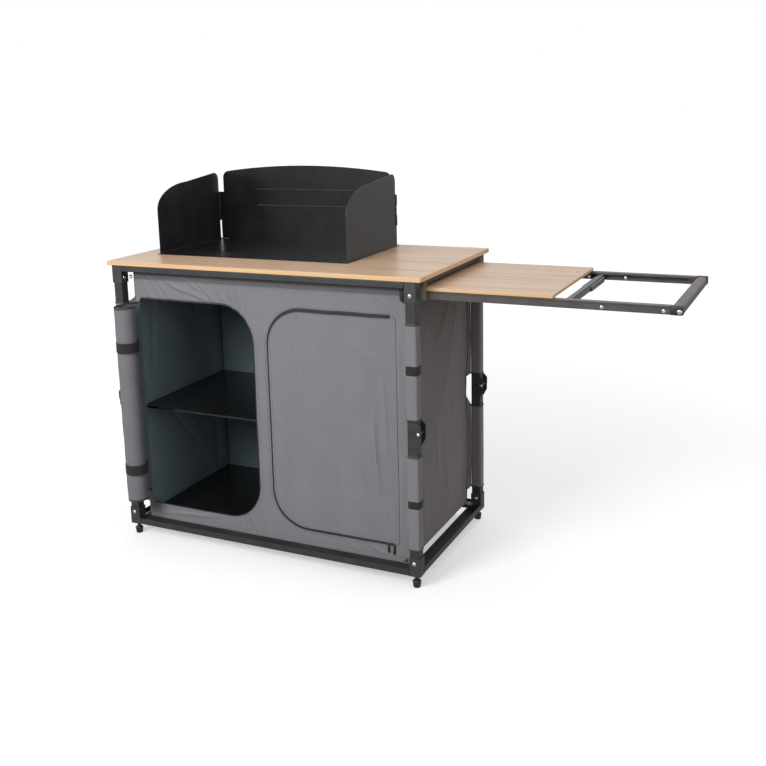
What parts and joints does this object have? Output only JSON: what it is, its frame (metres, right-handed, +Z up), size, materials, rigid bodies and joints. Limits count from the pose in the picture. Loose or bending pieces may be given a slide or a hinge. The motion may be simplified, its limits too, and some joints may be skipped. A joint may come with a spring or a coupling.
{
  "type": "folding camp kitchen stand",
  "caption": "Folding camp kitchen stand with knee-jointed legs, a zipped cloth cupboard with shelf, bamboo worktop, folding windscreen and pull-out side table.",
  "frame": {"origin": "centre of the bounding box at floor level", "axes": "+X along the worktop towards the pull-out side table, +Y from the door side to the back, +Z up"},
  "size_m": [1.565, 0.5722, 1.0573],
  "materials": {
    "frame_metal": "satin dark grey",
    "corner_metal": "satin dark grey",
    "foot_plastic": "matt black",
    "worktop_wood": "sealed bamboo",
    "panel_wood": "sealed bamboo",
    "cloth_grey": "plain woven",
    "sleeve_grey": "plain woven",
    "strap_black": "webbing",
    "shelf_black": "gloss black",
    "screen_black": "satin black",
    "slide_metal": "satin dark grey",
    "guide_metal": "brushed",
    "pull_plastic": "matt black"
  },
  "bodies": {
    "base": {"base_rail_front": "frame_metal", "base_rail_back": "frame_metal", "base_rail_left": "frame_metal", "base_rail_right": "frame_metal", "base_corner_fl": "corner_metal", "base_corner_fr": "corner_metal", "base_corner_bl": "corner_metal", "base_corner_br": "corner_metal", "foot_fl": "foot_plastic", "foot_fr": "foot_plastic", "foot_bl": "foot_plastic", "foot_br": "foot_plastic", "base_board": "shelf_black", "cloth_front": "cloth_grey", "cloth_back": "cloth_grey", "cloth_left": "cloth_grey", "cloth_right": "cloth_grey", "door_left_rolled": "cloth_grey", "door_strap_lower": "strap_black", "door_strap_upper": "strap_black"},
    "lower_leg_fl": {"leg_lower_fl": "frame_metal", "sleeve_lower_fl": "sleeve_grey"},
    "upper_leg_fl": {"leg_upper_fl": "frame_metal", "sleeve_upper_fl": "sleeve_grey"},
    "lower_leg_fr": {"leg_lower_fr": "frame_metal", "sleeve_lower_fr": "sleeve_grey"},
    "upper_leg_fr": {"leg_upper_fr": "frame_metal", "sleeve_upper_fr": "sleeve_grey"},
    "lower_leg_bl": {"leg_lower_bl": "frame_metal", "sleeve_lower_bl": "sleeve_grey"},
    "upper_leg_bl": {"leg_upper_bl": "frame_metal", "sleeve_upper_bl": "sleeve_grey"},
    "lower_leg_br": {"leg_lower_br": "frame_metal", "sleeve_lower_br": "sleeve_grey"},
    "upper_leg_br": {"leg_upper_br": "frame_metal", "sleeve_upper_br": "sleeve_grey"},
    "top": {"top_rail_front": "frame_metal", "top_rail_back": "frame_metal", "top_rail_left": "frame_metal", "top_rail_right": "frame_metal", "top_corner_fl": "corner_metal", "top_corner_fr": "corner_metal", "top_corner_bl": "corner_metal", "top_corner_br": "corner_metal", "worktop": "worktop_wood", "pull_guide_front": "guide_metal", "pull_guide_back": "guide_metal", "screen_plate": "screen_black", "screen_back": "screen_black"},
    "side_table": {"pull_rail_front": "slide_metal", "pull_rail_back": "slide_metal", "pull_panel": "panel_wood", "pull_cross_bar": "pull_plastic", "pull_handle_bar": "pull_plastic"},
    "wing_left": {"screen_wing_left": "screen_black"},
    "wing_right": {"screen_wing_right": "screen_black"},
    "shelf": {"shelf": "shelf_black"},
    "door": {"door_right": "cloth_grey"}
  },
  "joints": [
    {"name": "fold_fr", "type": "hinge", "parent": "base", "child": "lower_leg_fr", "pos_m": [0.1467, -0.20945, 0.07], "axis": [0, -1, 0], "range_deg": [0, 90], "deforming": ["cloth_front", "cloth_back", "cloth_left", "cloth_right", "door_left_rolled", "door_strap_lower", "door_strap_upper", "door_right"]},
    {"name": "knee_fr", "type": "hinge", "parent": "lower_leg_fr", "child": "upper_leg_fr", "pos_m": [0.1647, -0.20945, 0.423], "axis": [0, -1, 0], "range_deg": [-180, 0]},
    {"name": "fold_fl", "type": "hinge", "parent": "base", "child": "lower_leg_fl", "pos_m": [-0.7517, -0.20945, 0.07], "axis": [-1, 0, 0], "range_deg": [0, 90]},
    {"name": "knee_fl", "type": "hinge", "parent": "lower_leg_fl", "child": "upper_leg_fl", "pos_m": [-0.7517, -0.22745, 0.423], "axis": [-1, 0, 0], "range_deg": [-180, 0]},
    {"name": "fold_bl", "type": "hinge", "parent": "base", "child": "lower_leg_bl", "pos_m": [-0.7517, 0.26655, 0.07], "axis": [0, 1, 0], "range_deg": [0, 90]},
    {"name": "knee_bl", "type": "hinge", "parent": "lower_leg_bl", "child": "upper_leg_bl", "pos_m": [-0.7697, 0.26655, 0.423], "axis": [0, 1, 0], "range_deg": [-180, 0]},
    {"name": "fold_br", "type": "hinge", "parent": "base", "child": "lower_leg_br", "pos_m": [0.1467, 0.26655, 0.07], "axis": [0, -1, 0], "range_deg": [0, 90]},
    {"name": "knee_br", "type": "hinge", "parent": "lower_leg_br", "child": "upper_leg_br", "pos_m": [0.1647, 0.26655, 0.423], "axis": [0, -1, 0], "range_deg": [-180, 0]},
    {"name": "top_fr", "type": "hinge", "parent": "upper_leg_fr", "child": "top", "pos_m": [0.1467, -0.20945, 0.776], "axis": [0, -1, 0], "range_deg": [0, 90]},
    {"name": "shelf_drop", "type": "slide", "parent": "base", "child": "shelf", "axis": [0, 0, 1], "range_m": [-0.3189, 0]},
    {"name": "side_table_slide", "type": "slide", "parent": "top", "child": "side_table", "axis": [1, 0, 0], "range_m": [-0.583, 0]},
    {"name": "wing_left_fold", "type": "hinge", "parent": "top", "child": "wing_left", "pos_m": [-0.7105, 0.25405, 0.929], "axis": [0, 0, 1], "range_deg": [0, 90]},
    {"name": "wing_right_fold", "type": "hinge", "parent": "top", "child": "wing_right", "pos_m": [-0.0965, 0.25055, 0.929], "axis": [0, 0, -1], "range_deg": [0, 90]},
    {"name": "door_right_swing", "type": "hinge", "parent": "base", "child": "door", "pos_m": [0.0895, -0.18345, 0.4], "axis": [0, 0, 1], "range_deg": [0, 100]}
  ],
  "couplings": [
    {"joint": "knee_fr", "follows": "fold_fr", "ratio": -2},
    {"joint": "fold_fl", "follows": "fold_fr", "ratio": 1},
    {"joint": "knee_fl", "follows": "fold_fr", "ratio": -2},
    {"joint": "fold_bl", "follows": "fold_fr", "ratio": 1},
    {"joint": "knee_bl", "follows": "fold_fr", "ratio": -2},
    {"joint": "fold_br", "follows": "fold_fr", "ratio": 1},
    {"joint": "knee_br", "follows": "fold_fr", "ratio": -2},
    {"joint": "top_fr", "follows": "fold_fr", "ratio": 1},
    {"joint": "shelf_drop", "follows": "fold_fr", "m_per_rad": -0.2027}
  ]
}
